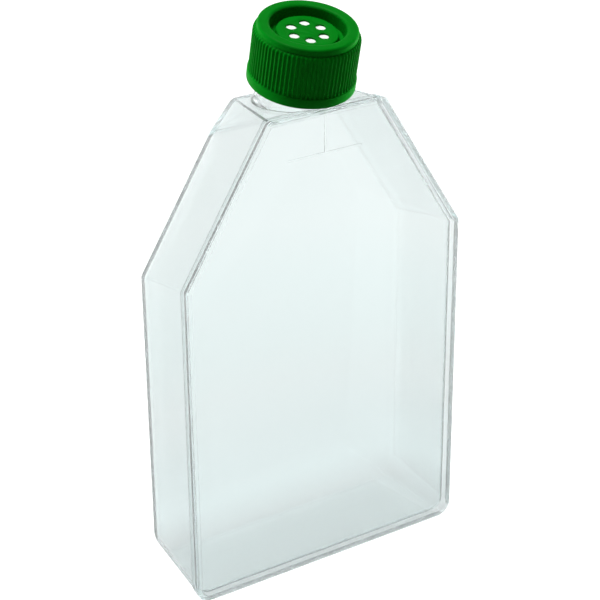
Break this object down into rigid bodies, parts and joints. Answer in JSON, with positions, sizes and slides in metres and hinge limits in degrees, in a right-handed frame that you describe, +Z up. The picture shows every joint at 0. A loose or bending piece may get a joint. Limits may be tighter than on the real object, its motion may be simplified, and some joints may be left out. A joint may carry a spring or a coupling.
{
  "type": "cell culture flask",
  "caption": "Flat rectangular culture flask with sloping shoulders, a canted threaded neck and a ribbed vented screw cap.",
  "frame": {"origin": "centre of the flask's end wall, on the face it stands on", "axes": "+Z up along the flask to the cap, -Y out of the cover, +Y out of the growth wall, +X to the right seen from the cover"},
  "size_m": [0.12, 0.0446, 0.2214],
  "materials": {
    "clear_plastic": "clear polystyrene, polished",
    "green_plastic": "satin moulded polyethylene",
    "membrane": "matt white filter membrane"
  },
  "bodies": {
    "flask": {"tray": "clear_plastic", "cover": "clear_plastic"},
    "vent": {"vent_membrane": "membrane"},
    "screw_cap": {"cap": "green_plastic"}
  },
  "joints": [
    {"name": "cap_lift", "type": "slide", "parent": "flask", "child": "vent", "axis": [0, -0.23, 0.9732], "range_m": [0, 0.0252]},
    {"name": "cap_turn", "type": "hinge", "parent": "vent", "child": "screw_cap", "pos_m": [0, -0.0017, 0.1952], "axis": [0, -0.23, 0.9732], "range_deg": [0, 2160]}
  ],
  "couplings": [
    {"joint": "cap_lift", "follows": "cap_turn", "m_per_rad": 0.00066845}
  ]
}
